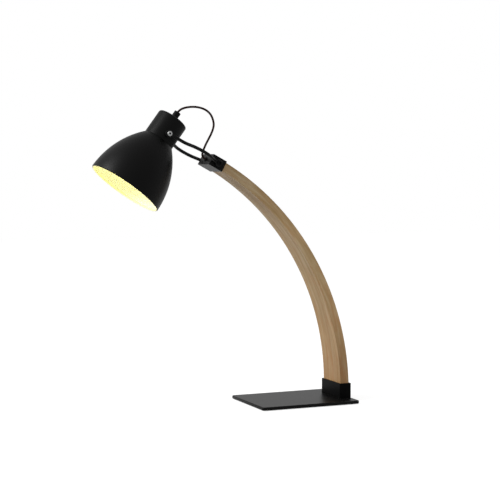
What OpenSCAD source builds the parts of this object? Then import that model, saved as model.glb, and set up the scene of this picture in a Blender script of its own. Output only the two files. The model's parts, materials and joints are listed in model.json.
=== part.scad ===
// Table lamp: a bent wooden arm on a flat steel base carries a black bell shade in a tilting rod bow.
// Frame: origin at the middle of the underside, +Z up, +X towards the arm's foot, -Y the near side.

/* [Base] */
// Length of the base plate, along X
base_length = 223; // [180:1:260]
// Width of the base plate, along Y
base_width = 170; // [120:1:220]
// Thickness of the base plate
plate_t = 7; // [4:0.5:10]
// Corner radius of the base plate, seen from above
plate_corner_r = 6; // [1:0.5:12]
// Thickness of the foam pad under the plate
pad_t = 1.5; // [1:0.1:3]
// Distance of the pad's edge from the plate's edge
pad_inset = 8; // [3:0.5:20]

/* [Foot socket] */
// Height of the sleeve above the plate
socket_h = 31; // [26:1:60]
// Wall of the sleeve
socket_wall = 3.5; // [2:0.1:5]
// Floor of the sleeve
socket_floor = 3; // [2:0.1:5]
// Outer corner radius of the sleeve
socket_corner_r = 2; // [0.5:0.1:4]
// Clearance between the sleeve and the wood, each side
socket_gap = 0.3; // [0.2:0.05:0.8]

/* [Arm] */
// Thickness of the arm
arm_t = 19; // [14:0.5:24]
// Width of the arm at the foot
arm_w_foot = 81; // [66:1:100]
// Width of the arm at its tip
arm_w_top = 58; // [50:1:66]
// Radius of the arm's inner face
arm_radius = 540; // [480:1:600]
// Height of the arc's centre above the plate
arm_rise = 16.8; // [15:0.1:24]
// Angle of the arc from foot to tip
arm_sweep = 62.9; // [50:0.1:70]
// Bore of the wire channel
channel_d = 5.2; // [4.8:0.1:7]

/* [Arm cap] */
// Length of the cap along the arm
cap_len = 32; // [26:0.5:40]
// Wall of the cap
cap_wall = 2; // [1.5:0.1:3]
// Clearance between the cap and the wood, each side
cap_gap = 0.4; // [0.35:0.05:0.8]

/* [Bow] */
// Distance from the cap's pivot to the head's pivot
bow_length = 122.5; // [112:0.5:150]
// Angle of the bow above the horizontal
bow_pitch = 28.6; // [20:0.1:40]
// Diameter of the bow's rods
rod_d = 6.8; // [5:0.1:7]
// How far each rod bulges outwards
bow_bulge = 22; // [21:0.5:28]
// Angle at which each rod swings outwards
bow_bend = 46; // [42:0.5:48]
// Bend radius at the top of the bulge
bow_crown_r = 34; // [28:0.5:38]
// Bend radius at the cup's end
bow_neck_r = 20; // [12:0.5:24]
// Bend radius at the cap's end
bow_heel_r = 8; // [6:0.5:12]
// Outer diameter of the pivot eyes
eye_d = 15; // [13:0.5:18]
// Thickness of the pivot eyes
eye_t = 7; // [6:0.1:8]

/* [Pivots] */
// Diameter of the pivot screws
pivot_d = 5; // [4:0.1:6]
// Radial clearance of a pivot screw in its eye
pivot_gap = 0.05; // [0.02:0.01:0.1]
// Diameter of the screw heads
pivot_head_d = 10; // [8:0.1:12]
// Height of the screw heads
pivot_head_h = 3.2; // [2.5:0.1:5]
// Width across the flats of the key socket in a screw head
key_af = 4; // [3:0.1:5]
// Diameter of the friction washers
washer_d = 13; // [11:0.5:16]
// Thickness of the friction washers
washer_t = 0.8; // [0.5:0.1:1.5]
// Axial play between faces that turn on each other
play = 0.1; // [0.05:0.01:0.3]
// Width across the flats of the nuts
nut_af = 8; // [7.5:0.1:10]
// Thickness of the nuts
nut_t = 4; // [3:0.1:5]

/* [Cup and shade] */
// Tilt of the head from the vertical
head_tilt = 36.6; // [10:0.1:60]
// Outer diameter of the cup
cup_d = 65; // [58:0.5:76]
// Height of the cup
cup_h = 53.5; // [48:0.5:70]
// Wall of the cup
cup_wall = 1.5; // [1:0.1:2.5]
// Edge radius of the cup's top
cup_round = 4; // [3:0.1:8]
// Distance of the pivot below the cup's top
pivot_drop = 37.5; // [34:0.5:42]
// Outer diameter of the shade's rim
shade_d = 158; // [140:1:180]
// Height of the shade
shade_h = 121; // [110:1:150]
// Wall of the shade
shade_wall = 1.2; // [0.8:0.1:2]

/* [Lamp holder and bulb] */
// Diameter of the lamp holder
holder_d = 39; // [36:0.5:42]
// Wall of the lamp holder's upper half
holder_wall = 2; // [1.5:0.1:3]
// Length of the lamp holder below the shade's neck
holder_reach = 36; // [30:0.5:44]
// Diameter of the bulb's screw base
bulb_base_d = 26.4; // [24:0.1:28]
// Diameter of the bulb's globe
bulb_d = 45; // [40:0.5:60]
// Length of the bulb
bulb_len = 75; // [70:0.5:82]
// Wall of the bulb's globe
bulb_wall = 1; // [0.6:0.1:2]
// Diameter of the threaded nipple
nipple_d = 10; // [9:0.1:12]
// Diameter of the cord grip
grip_d = 14; // [11.6:0.1:16]
// Height of the cord grip
grip_h = 17; // [13:0.5:22]

/* [Cord and wire] */
// Diameter of the textile cord and of the wire in the arm
cord_d = 4.4; // [3.6:0.1:4.6]
// Bore of the mains lead's inlet
inlet_d = 6.2; // [5:0.1:8]

/* [Small fits] */
// Clearance of fixed pieces that slip into each other
fit = 0.1; // [0.05:0.01:0.2]

/* [Hidden] */
$fn = 72;

// How far a cut runs past the face that it opens
over = 1;

black_steel = "#1d1d1f";
bright_steel = "#c4c6c9";
oak = "#a98a68";
dark_rubber = "#2a2a2a";
textile = "#4a1f1c";

// Levels of the base
plate_top = pad_t + plate_t;
socket_top = plate_top + socket_h;
foot_z = plate_top + socket_floor;

// The arm's arc, in the XZ plane
arm_r_mid = arm_radius + arm_t / 2;
foot_x = base_length / 2 - socket_wall - socket_gap - arm_t / 2;
arc_x = foot_x - arm_r_mid;
arc_z = plate_top + arm_rise;
tip_z = arc_z + arm_r_mid * sin(arm_sweep);
taper = (arm_w_foot - arm_w_top) / 2 / (tip_z - socket_top);
function arm_half_w(z) = arm_w_top / 2 + taper * (tip_z - z);

// The socket's outer size
socket_x = arm_t + 2 * (socket_gap + socket_wall);
socket_y = arm_w_foot + 2 * (socket_gap + socket_wall);
socket_back = base_length / 2;

// The wire leaves the channel in a quarter bend and meets the inlet
wire_bend_r = 2 * cord_d;
inlet_z = arc_z - wire_bend_r;
inlet_wall = 1.2;
inlet_rim = 3;
inlet_neck_d = inlet_d + 2 * inlet_wall;
inlet_flange_d = inlet_d + 2 * inlet_rim;
inlet_flange_t = 2;

// Screws of the base and of the sleeve
base_screw_d = 5;
base_screw_head_d = 10;
base_screw_head_h = 2.7;
base_screw_sink = 0.2;
base_screw_y = arm_w_foot / 4;
wood_screw_d = 3.8;
wood_screw_head_d = 8;
wood_screw_head_h = 2.4;
wood_screw_len = 13;
wood_screw_y = arm_w_foot / 4;
wood_screw_drop = 9.6;
wood_screw_z = socket_top - wood_screw_drop;

// The cap: its middle lies on the arc, its end plate just past the arm's tip
tip_gap = 0.35;
cap_angle = arm_sweep - asin((cap_len / 2 - cap_wall - tip_gap) / arm_r_mid);
cap_mouth_angle = cap_angle - asin(cap_len / 2 / arm_r_mid);
cap_ht = arm_t + 2 * (cap_gap + cap_wall);
cap_mouth_z = arc_z + arm_radius * sin(cap_mouth_angle);
cap_in_w = 2 * (arm_half_w(cap_mouth_z) + cap_gap);
cap_w = cap_in_w + 2 * cap_wall;
cap_pivot = [arc_x + arm_r_mid * cos(cap_angle), 0, arc_z + arm_r_mid * sin(cap_angle)];
cap_screw_d = 3;
cap_screw_head_d = 6;
cap_screw_head_h = 1.8;
cap_screw_len = 10;
cap_screw_y = cap_w / 4;
cap_screw_z = -cap_len / 6;
bush_wall = 1.3;
bush_rim = 2.5;
bush_neck_d = cord_d + 2 * bush_wall;
bush_flange_d = cord_d + 2 * bush_rim;
bush_flange_t = 1.5;
pivot_screw_depth = 22;
head_edge = 1;
key_depth = 1.6;
screw_past_nut = 1;

// The bow: each rod is a chain of straight lines and bends in the plane of both pivots
cap_eye_y = cap_w / 2 + washer_t + play + eye_t / 2;
cup_seat = 0.05;
cup_eye_y = cup_d / 2 + cup_seat + washer_t + play + eye_t / 2;
eye_bore_d = pivot_d + 2 * pivot_gap;
eye_merge = 2;
cap_side_rise = bow_bulge + cup_eye_y - cap_eye_y;
cap_side_line = (cap_side_rise - (bow_heel_r + bow_crown_r) * (1 - cos(bow_bend))) / sin(bow_bend);
cup_side_line = (bow_bulge - (bow_crown_r + bow_neck_r) * (1 - cos(bow_bend))) / sin(bow_bend);
bends_run = (bow_heel_r + 2 * bow_crown_r + bow_neck_r) * sin(bow_bend)
    + (cap_side_line + cup_side_line) * cos(bow_bend);
last_line = bow_length - eye_d - bends_run;
// Each step is [length, turn, bend radius]: a line of that length, then a bend to the left
rod_steps = [
    [eye_merge, bow_bend, bow_heel_r],
    [cap_side_line, -2 * bow_bend, bow_crown_r],
    [cup_side_line, bow_bend, bow_neck_r],
    [last_line + eye_merge, 0, 0]
];
rod_sides = 20;
rod_bend_rings = 9;
head_pivot = cap_pivot + bow_length * [-cos(bow_pitch), 0, sin(bow_pitch)];

// The head, along its own axis with the pivot at zero and the cup's top upwards
cup_top = pivot_drop;
neck_z = cup_top - cup_h;
rim_z = neck_z - shade_h;
neck_r = cup_d / 2;
rim_r = shade_d / 2;
shade_arc_r = (pow(shade_h, 2) + pow(rim_r - neck_r, 2)) / (2 * (rim_r - neck_r));
holder_r = holder_d / 2;
shade_hole_r = holder_r + 3 * fit;
nut_r = nut_af / 2 / cos(30);
nut_face = sqrt(pow(cup_d / 2 - cup_wall, 2) - pow(nut_r, 2)) - cup_seat;
nipple_nut_rim = 2;
nipple_nut_af = nipple_d + 2 * nipple_nut_rim;
nipple_nut_t = 3.5;
nipple_slack = 0.6;
nipple_bore_d = cord_d + 2 * nipple_slack;
nipple_nut_z = cup_top - cup_wall - nipple_nut_t;

// The lamp holder: a cap with a hub on the nipple, and a body that carries the shade and the bulb
hub_wall = 2.5;
hub_h = 11;
hub_d = nipple_d + 2 * hub_wall;
hub_top = nipple_nut_z - fit;
holder_top = hub_top - hub_h;
holder_edge = 4;
split_rise = 8;
holder_split = neck_z + split_rise;
shoulder_rim = 4;
shoulder_d = holder_d + 2 * shoulder_rim;
shoulder_t = 3.5;
ring_rim = 7.5;
ring_d = holder_d + 2 * ring_rim;
ring_t = 7;
holder_mouth = neck_z - holder_reach;
floor_drop = 8;
holder_floor = neck_z - floor_drop;
contact_d = 8;
contact_t = 2;

// The bulb, from its tip down
bulb_slack = 0.3;
bulb_bore_d = bulb_base_d + 2 * bulb_slack;
bulb_tip_z = holder_floor - contact_t;
bulb_end_z = bulb_tip_z - bulb_len;
bulb_stub_h = 3;
bulb_stub_d = 11;
bulb_shell_h = 23;
globe_start_z = bulb_tip_z - bulb_stub_h - bulb_shell_h;
globe_z = bulb_end_z + bulb_d / 2;
globe_collar = 0.7;
globe_neck_d = bulb_base_d + 2 * globe_collar;
globe_neck_h = 6;
flare_ratio = 0.94;

// The cord grip on the nipple's upper end
grip_rim = 0.75;
grip_flange_d = grip_d + 2 * grip_rim;
grip_flange_h = 3;
grip_edge = 0.5;
grip_top = cup_top + grip_h;
grip_bore_d = cord_d + 2 * fit;
grip_seat_h = 7.75;
grip_screw_d = 3;
grip_screw_drop = 3.5;
grip_screw_z = grip_top - grip_screw_drop;
nipple_end = cup_top + grip_seat_h - fit;
nipple_rise = 2;
nipple_start = holder_top + nipple_rise;

// The cord's route in the XZ plane, from the cap to the grip, with its middle points chosen by hand
cord_sides = 10;
cord_seat = 1;
cord_gap = 0.3;
cap_lead = 2;
grip_lead = 2.5;
cap_face = cap_len / 2 + bush_flange_t;
cap_out = [-sin(cap_angle), 0, cos(cap_angle)];
head_up = [sin(head_tilt), 0, cos(head_tilt)];
function cap_point(d) = cap_pivot + (cap_face + d) * cap_out;
function grip_point(d) = head_pivot + (grip_top + d) * head_up;
cord_route = concat([cap_point(-cord_seat), cap_point(cap_lead / 2), cap_point(cap_lead)], [
    [-208.5, 0, 519.5], [-210.5, 0, 523], [-210.5, 0, 527.5], [-208, 0, 535], [-203.5, 0, 545],
    [-197.5, 0, 556], [-191.5, 0, 567], [-187, 0, 578], [-185.5, 0, 588], [-188, 0, 599], [-193, 0, 608],
    [-201, 0, 615], [-211, 0, 619.5], [-224, 0, 622], [-236, 0, 622], [-246.5, 0, 620.5], [-254.5, 0, 618],
    [-259.5, 0, 615]
], [grip_point(grip_lead), grip_point(grip_lead / 2), grip_point(-cord_seat)]);
cord_split = 14;
cord_ring_steps = 2;

// Points of a smooth curve through a list of points, with a straight start and end
function past(a, b) = 2 * a - b;
function route_point(route, i) =
    i < 0 ? past(route[0], route[1])
    : i >= len(route) ? past(route[len(route) - 1], route[len(route) - 2])
    : route[i];
function curve_point(a, b, c, d, t) =
    (2 * b + (c - a) * t + (2 * a - 5 * b + 4 * c - d) * t * t + (3 * b - a - 3 * c + d) * t * t * t) / 2;
function smooth_route(route, steps) = [
    for (i = [0 : len(route) - 1], k = [0 : steps - 1])
        if (i < len(route) - 1 || k == 0)
            curve_point(route_point(route, i - 1), route_point(route, i),
                route_point(route, i + 1), route_point(route, i + 2), k / steps)
];
cord_path = smooth_route(cord_route, cord_ring_steps);

// The wire's route in the XZ plane: a quarter bend at the inlet, the arm's arc, and out through the cap
wire_bend_rings = 8;
wire_arc_rings = 40;
wire_step = cap_angle / wire_arc_rings;
wire_path = concat(
    arc_points([foot_x + wire_bend_r, 0, arc_z], wire_bend_r, 270, 180, wire_bend_rings),
    arc_points([arc_x, 0, arc_z], arm_r_mid, wire_step, cap_angle, wire_arc_rings - 1),
    [cap_point(-cord_seat - bush_flange_t), cap_point(-cord_seat - cord_gap)]
);

// A rod's route in the XY plane of the bow, bend by bend
function bend_points(start, heading, turn, r, steps) = [
    for (k = [1 : steps])
        let (hand = sign(turn), a = heading + turn * k / steps)
            start + hand * r * [sin(a) - sin(heading), cos(heading) - cos(a), 0]
];
function rod_route(steps, i, start, heading) =
    i >= len(steps) ? []
    : let (
        line_end = start + steps[i][0] * [cos(heading), sin(heading), 0],
        bend = bend_points(line_end, heading, steps[i][1], steps[i][2], rod_bend_rings),
        end = steps[i][1] == 0 ? line_end : bend[len(bend) - 1]
    ) concat([line_end], steps[i][1] == 0 ? [] : bend, rod_route(steps, i + 1, end, heading + steps[i][1]));
rod_start = [eye_d / 2 - eye_merge, cap_eye_y, 0];
rod_path = concat([rod_start], rod_route(rod_steps, 0, rod_start, 0));

// A closed tube along the points first to last of a path that lies in a plane with the normal side
function direction(path, i) =
    let (a = path[max(i - 1, 0)], b = path[min(i + 1, len(path) - 1)]) (b - a) / norm(b - a);
function ring(path, i, r, sides, side) =
    let (out = cross(side, direction(path, i))) [
        for (k = [0 : sides - 1])
            let (a = 360 * k / sides) path[i] + r * (cos(a) * out + sin(a) * side)
    ];
module tube(path, first, last, d, sides, side = [0, 1, 0]) {
    count = last - first + 1;
    points = [for (i = [first : last]) each ring(path, i, d / 2, sides, side)];
    walls = [
        for (i = [0 : count - 2], k = [0 : sides - 1])
            let (a = i * sides + k, b = i * sides + (k + 1) % sides)
                each [[a, a + sides, b + sides], [a, b + sides, b]]
    ];
    start = [[for (k = [0 : sides - 1]) k]];
    end = [[for (k = [sides - 1 : -1 : 0]) (count - 1) * sides + k]];
    polyhedron(points = points, faces = concat(walls, start, end));
}

// Points of an arc in the XZ plane, from one angle to another
function arc_points(centre, r, from, to, steps) = [
    for (k = [0 : steps]) let (a = from + (to - from) * k / steps) centre + r * [cos(a), 0, sin(a)]
];

// Frames of the moving groups
module at_arc() { translate([arc_x, 0, arc_z]) rotate([90, 0, 0]) children(); }
module at_cap() { translate(cap_pivot) rotate([0, -cap_angle, 0]) children(); }
module at_bow() { translate(cap_pivot) rotate([0, 180 + bow_pitch, 0]) children(); }
module at_head() { translate(head_pivot) rotate([0, head_tilt, 0]) children(); }
module both_sides() { for (side = [0, 1]) mirror([0, side, 0]) children(); }

// A cylinder along +Y from one distance to another
module along_y(d, from, to) { translate([0, from, 0]) rotate([-90, 0, 0]) cylinder(d = d, h = to - from); }

module round_rect(x, y, r) {
    square([x - 2 * r, y], center = true);
    square([x, y - 2 * r], center = true);
    for (sx = [-1, 1], sy = [-1, 1]) translate([sx * (x / 2 - r), sy * (y / 2 - r)]) circle(r);
}

// Half profile of a cylinder whose top edge is rounded
module rounded_top(r, low, high, edge) {
    translate([0, low]) square([r - edge, high - low]);
    translate([0, low]) square([r, high - edge - low]);
    translate([r - edge, high - edge]) circle(edge);
}

module base_pad() {
    color(dark_rubber) linear_extrude(pad_t)
        round_rect(base_length - 2 * pad_inset, base_width - 2 * pad_inset, plate_corner_r);
}

module base_screw_places() { both_sides() translate([foot_x, base_screw_y, pad_t]) children(); }

module base_plate() {
    color(black_steel) difference() {
        translate([0, 0, pad_t]) linear_extrude(plate_t)
            round_rect(base_length, base_width, plate_corner_r);
        base_screw_places() {
            translate([0, 0, -over]) cylinder(d = base_screw_d + 2 * fit, h = plate_t + 2 * over);
            translate([0, 0, -fit])
                cylinder(d = base_screw_head_d + 4 * fit, h = base_screw_sink + 2 * fit);
            translate([0, 0, base_screw_sink]) cylinder(d1 = base_screw_head_d + 4 * fit,
                d2 = base_screw_d + 2 * fit, h = base_screw_head_h + fit);
        }
    }
}

module base_screws() {
    shank_z = base_screw_sink + base_screw_head_h;
    color(bright_steel) base_screw_places() {
        translate([0, 0, base_screw_sink])
            cylinder(d1 = base_screw_head_d, d2 = base_screw_d, h = base_screw_head_h);
        translate([0, 0, shank_z]) cylinder(d = base_screw_d, h = plate_t + socket_floor - shank_z - fit);
    }
}

module wood_screw_places() {
    both_sides() translate([socket_back, wood_screw_y, wood_screw_z]) rotate([0, 90, 0]) children();
}

module foot_socket() {
    color(black_steel) difference() {
        translate([foot_x, 0, plate_top]) linear_extrude(socket_h)
            round_rect(socket_x, socket_y, socket_corner_r);
        translate([foot_x - arm_t / 2 - socket_gap, -arm_w_foot / 2 - socket_gap, foot_z])
            cube([arm_t + 2 * socket_gap, arm_w_foot + 2 * socket_gap, socket_h]);
        base_screw_places() cylinder(d = base_screw_d + 2 * fit, h = plate_t + socket_floor + over);
        wood_screw_places() translate([0, 0, -socket_wall - over])
            cylinder(d = wood_screw_d + 2 * fit, h = socket_wall + 2 * over);
        translate([socket_back - socket_wall - fit, 0, inlet_z]) rotate([0, 90, 0])
            cylinder(d = inlet_neck_d + 2 * fit, h = socket_wall + over);
    }
}

module arm_screws() {
    color(black_steel) wood_screw_places() {
        cylinder(d = wood_screw_head_d, h = wood_screw_head_h);
        translate([0, 0, -wood_screw_len]) cylinder(d = wood_screw_d, h = wood_screw_len);
    }
}

// Outline of the arm seen along X: straight in the socket, then tapering
module arm_front() {
    high = tip_z + arm_t;
    polygon([
        [-arm_w_foot / 2, 0], [arm_w_foot / 2, 0], [arm_w_foot / 2, socket_top], [arm_half_w(high), high],
        [-arm_half_w(high), high], [-arm_w_foot / 2, socket_top]
    ]);
}

module arm() {
    color(oak) difference() {
        union() {
            intersection() {
                at_arc() rotate_extrude(angle = arm_sweep)
                    translate([arm_radius, -arm_w_foot / 2]) square([arm_t, arm_w_foot]);
                translate([arc_x, 0, 0]) rotate([90, 0, 90])
                    linear_extrude(arm_radius + 2 * arm_t) arm_front();
            }
            translate([foot_x - arm_t / 2, -arm_w_foot / 2, foot_z])
                cube([arm_t, arm_w_foot, arc_z - foot_z]);
        }
        at_arc() rotate_extrude(angle = arm_sweep + 1) translate([arm_r_mid, 0]) circle(d = channel_d);
        translate([foot_x - channel_d / 2, -channel_d / 2, inlet_z - channel_d / 2])
            cube([arm_t, channel_d, arc_z - inlet_z + channel_d]);
        wood_screw_places() translate([0, 0, -wood_screw_len - over])
            cylinder(d = wood_screw_d + fit, h = wood_screw_len);
        at_cap() both_sides() along_y(pivot_d + fit, cap_w / 2 - pivot_screw_depth - over, arm_w_foot);
        at_cap() cap_screw_places() translate([0, 0, -cap_screw_len - over])
            cylinder(d = cap_screw_d + fit, h = cap_screw_len);
    }
}

module lead_grommet() {
    color(dark_rubber) translate([socket_back, 0, inlet_z]) rotate([0, 90, 0]) difference() {
        union() {
            cylinder(d = inlet_flange_d, h = inlet_flange_t);
            translate([0, 0, -socket_wall]) cylinder(d = inlet_neck_d, h = socket_wall);
        }
        translate([0, 0, -socket_wall - over])
            cylinder(d = inlet_d, h = socket_wall + inlet_flange_t + 2 * over);
    }
}

module arm_wire() {
    color(textile) tube(wire_path, 0, len(wire_path) - 1, cord_d, cord_sides);
}

module cap_screw_places() {
    both_sides() translate([cap_ht / 2, cap_screw_y, cap_screw_z]) rotate([0, 90, 0]) children();
}

module arm_cap() {
    color(black_steel) at_cap() difference() {
        translate([-cap_ht / 2, -cap_w / 2, -cap_len / 2]) cube([cap_ht, cap_w, cap_len]);
        translate([-cap_ht / 2 + cap_wall, -cap_in_w / 2, -cap_len / 2 - cap_wall])
            cube([cap_ht - 2 * cap_wall, cap_in_w, cap_len]);
        along_y(pivot_d + 2 * fit, -cap_w, cap_w);
        cylinder(d = bush_neck_d + 2 * fit, h = cap_len);
        cap_screw_places() translate([0, 0, -cap_wall - over])
            cylinder(d = cap_screw_d + 2 * fit, h = cap_wall + 2 * over);
    }
}

module cap_screws() {
    color(black_steel) at_cap() cap_screw_places() {
        cylinder(d = cap_screw_head_d, h = cap_screw_head_h);
        translate([0, 0, -cap_screw_len]) cylinder(d = cap_screw_d, h = cap_screw_len);
    }
}

module cap_grommet() {
    color(dark_rubber) at_cap() difference() {
        union() {
            translate([0, 0, cap_len / 2]) cylinder(d = bush_flange_d, h = bush_flange_t);
            translate([0, 0, cap_len / 2 - cap_wall]) cylinder(d = bush_neck_d, h = cap_wall);
        }
        cylinder(d = cord_d + 2 * fit, h = cap_len);
    }
}

// Button-head screw along -Y with its head's underside at zero and a hexagonal key socket
module pivot_screw(reach) {
    difference() {
        union() {
            along_y(pivot_head_d, 0, pivot_head_h - head_edge);
            translate([0, pivot_head_h - head_edge, 0]) rotate([-90, 0, 0])
                cylinder(d1 = pivot_head_d, d2 = pivot_head_d - 2 * head_edge, h = head_edge);
            along_y(pivot_d, -reach, 0);
        }
        translate([0, pivot_head_h - key_depth, 0]) rotate([-90, 0, 0])
            cylinder(d = key_af / cos(30), h = pivot_head_h, $fn = 6);
    }
}

module washer(inner_y) {
    difference() {
        along_y(washer_d, inner_y, inner_y + washer_t);
        along_y(pivot_d + 2 * fit, inner_y - over, inner_y + washer_t + over);
    }
}

module bow_pivot_screws() {
    seat = cap_eye_y + eye_t / 2 + play;
    color(black_steel) at_cap() both_sides() translate([0, seat, 0])
        pivot_screw(seat - cap_w / 2 + pivot_screw_depth);
}

module bow_washers() { color(bright_steel) at_cap() both_sides() washer(cap_w / 2); }

module bow_rod() {
    color(black_steel) difference() {
        union() {
            along_y(eye_d, cap_eye_y - eye_t / 2, cap_eye_y + eye_t / 2);
            translate([bow_length, 0, 0]) along_y(eye_d, cup_eye_y - eye_t / 2, cup_eye_y + eye_t / 2);
            tube(rod_path, 0, len(rod_path) - 1, rod_d, rod_sides, [0, 0, 1]);
        }
        along_y(eye_bore_d, 0, 2 * cap_eye_y);
        translate([bow_length, 0, 0]) along_y(eye_bore_d, 0, 2 * cup_eye_y);
    }
}

module bow_rod_rear() { at_bow() bow_rod(); }
module bow_rod_front() { at_bow() mirror([0, 1, 0]) bow_rod(); }

module cord_lower() {
    color(textile) tube(cord_path, 0, cord_split * cord_ring_steps, cord_d, cord_sides);
}
module cord_upper() {
    color(textile) tube(cord_path, cord_split * cord_ring_steps, len(cord_path) - 1, cord_d, cord_sides);
}

module head_pivot_screws() {
    seat = cup_eye_y + eye_t / 2 + play;
    color(bright_steel) at_head() both_sides() translate([0, seat, 0])
        pivot_screw(seat - nut_face + nut_t + screw_past_nut);
}

module head_washers() { color(bright_steel) at_head() both_sides() washer(cup_d / 2 + cup_seat); }

module head_nuts() {
    color(bright_steel) at_head() both_sides() difference() {
        translate([0, nut_face - nut_t, 0]) rotate([-90, 0, 0]) cylinder(r = nut_r, h = nut_t, $fn = 6);
        along_y(pivot_d + 2 * fit, 0, cup_d);
    }
}

module cup() {
    color(black_steel) at_head() difference() {
        rotate_extrude() difference() {
            intersection() {
                rounded_top(cup_d / 2, neck_z, cup_top, cup_round);
                translate([0, neck_z]) square([cup_d, cup_h]);
            }
            rounded_top(cup_d / 2 - cup_wall, neck_z - over, cup_top - cup_wall, cup_round - cup_wall);
        }
        cylinder(d = nipple_d + 2 * fit, h = cup_top + over);
        along_y(pivot_d + 2 * fit, -cup_d, cup_d);
    }
}

// The bell: an arc that stands square to the rim and closes in to the cup's width, with a flat neck
module shade() {
    color(black_steel) at_head() rotate_extrude() {
        intersection() {
            translate([rim_r - shade_arc_r, rim_z]) difference() {
                circle(shade_arc_r, $fn = 360);
                circle(shade_arc_r - shade_wall, $fn = 360);
            }
            translate([shade_hole_r, rim_z]) square([rim_r, shade_h]);
        }
        translate([shade_hole_r, neck_z - shade_wall])
            square([neck_r - shade_wall / 2 - shade_hole_r, shade_wall]);
    }
}

module grip_screw_place() { translate([0, 0, grip_screw_z]) rotate([0, 90, 0]) children(); }

module cord_grip() {
    color(dark_rubber) at_head() difference() {
        union() {
            translate([0, 0, cup_top]) cylinder(d = grip_flange_d, h = grip_flange_h);
            rotate_extrude() intersection() {
                rounded_top(grip_d / 2, cup_top, grip_top, grip_edge);
                translate([0, cup_top]) square([grip_d, grip_h]);
            }
        }
        cylinder(d = grip_bore_d, h = grip_top + over);
        cylinder(d = nipple_d + 2 * fit, h = cup_top + grip_seat_h);
        grip_screw_place() cylinder(d = grip_screw_d + 2 * fit, h = grip_d);
    }
}

module grip_screw() {
    color("#d8d8d4") at_head() grip_screw_place()
        translate([0, 0, grip_bore_d / 2])
            cylinder(d = grip_screw_d, h = grip_d / 2 - grip_bore_d / 2 + fit);
}

module nipple() {
    color(bright_steel) at_head() difference() {
        translate([0, 0, nipple_start]) cylinder(d = nipple_d, h = nipple_end - nipple_start);
        translate([0, 0, nipple_start - over])
            cylinder(d = nipple_bore_d, h = nipple_end - nipple_start + 2 * over);
    }
}

module nipple_nut() {
    color(bright_steel) at_head() translate([0, 0, nipple_nut_z]) difference() {
        cylinder(d = nipple_nut_af / cos(30), h = nipple_nut_t, $fn = 6);
        translate([0, 0, -over]) cylinder(d = nipple_d + 2 * fit, h = nipple_nut_t + 2 * over);
    }
}

module head_wire() {
    color(textile) at_head() translate([0, 0, holder_split])
        cylinder(d = cord_d, h = grip_top - cord_seat - cord_gap - holder_split);
}

module holder_cap() {
    color(dark_rubber) at_head() difference() {
        rotate_extrude() difference() {
            intersection() {
                rounded_top(holder_r, holder_split, holder_top, holder_edge);
                translate([0, holder_split]) square([holder_d, holder_d]);
            }
            rounded_top(holder_r - holder_wall, holder_split - over, holder_top - holder_wall,
                holder_edge - holder_wall);
        }
        cylinder(d = nipple_d + 2 * fit, h = hub_top + over);
    }
    color(dark_rubber) at_head() difference() {
        translate([0, 0, holder_top - fit]) cylinder(d = hub_d, h = hub_top - holder_top + fit);
        cylinder(d = nipple_d + 2 * fit, h = hub_top + over);
    }
}

module holder_body() {
    color(dark_rubber) at_head() difference() {
        union() {
            translate([0, 0, holder_mouth]) cylinder(d = holder_d, h = holder_split - holder_mouth);
            translate([0, 0, neck_z]) cylinder(d = shoulder_d, h = shoulder_t);
        }
        translate([0, 0, holder_mouth - over])
            cylinder(d = bulb_bore_d, h = holder_floor - holder_mouth + over);
    }
}

module shade_ring() {
    color(dark_rubber) at_head() translate([0, 0, neck_z - shade_wall - ring_t]) difference() {
        cylinder(d = ring_d, h = ring_t);
        translate([0, 0, -over]) cylinder(d = holder_d + 2 * fit, h = ring_t + 2 * over);
    }
}

module holder_contact() {
    color("#c9a24a") at_head() translate([0, 0, holder_floor - contact_t])
        cylinder(d = contact_d, h = contact_t);
}

module bulb_base() {
    color(bright_steel) at_head() {
        translate([0, 0, bulb_tip_z - bulb_stub_h]) cylinder(d = bulb_stub_d, h = bulb_stub_h);
        translate([0, 0, globe_start_z]) cylinder(d = bulb_base_d, h = bulb_shell_h);
    }
}

// The globe's outer or inner form: a ball and a flared neck that runs into it
module globe_form(inset) {
    r = bulb_d / 2 - inset;
    neck = globe_neck_d / 2 - inset;
    top = globe_start_z + inset;
    start = globe_start_z - globe_neck_h;
    reach = norm([neck, start - globe_z]);
    touch = atan2(start - globe_z, neck) - acos(r / reach);
    flare_end = flare_ratio * r * [cos(touch), sin(touch)] + [0, globe_z];
    translate([0, 0, globe_z]) sphere(r);
    rotate_extrude() polygon([[0, top], [neck, top], [neck, start], flare_end, [0, flare_end[1]]]);
}

module bulb_globe() {
    color("#fff4d8") at_head() difference() {
        globe_form(0);
        globe_form(bulb_wall);
    }
}

base_pad();
base_plate();
base_screws();
foot_socket();
arm_screws();
arm();
lead_grommet();
arm_wire();
arm_cap();
cap_screws();
cap_grommet();
bow_pivot_screws();
bow_washers();
bow_rod_front();
bow_rod_rear();
cord_lower();
cord_upper();
head_pivot_screws();
head_washers();
head_nuts();
cup();
shade();
cord_grip();
grip_screw();
nipple();
nipple_nut();
head_wire();
holder_cap();
holder_body();
shade_ring();
holder_contact();
bulb_base();
bulb_globe();
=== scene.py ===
# Looks of the table lamp: a bent oak arm on a black steel base carries a black bell shade in a rod bow.
import json
import math
import bpy
import bmesh
from mathutils import Matrix, Vector


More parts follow.
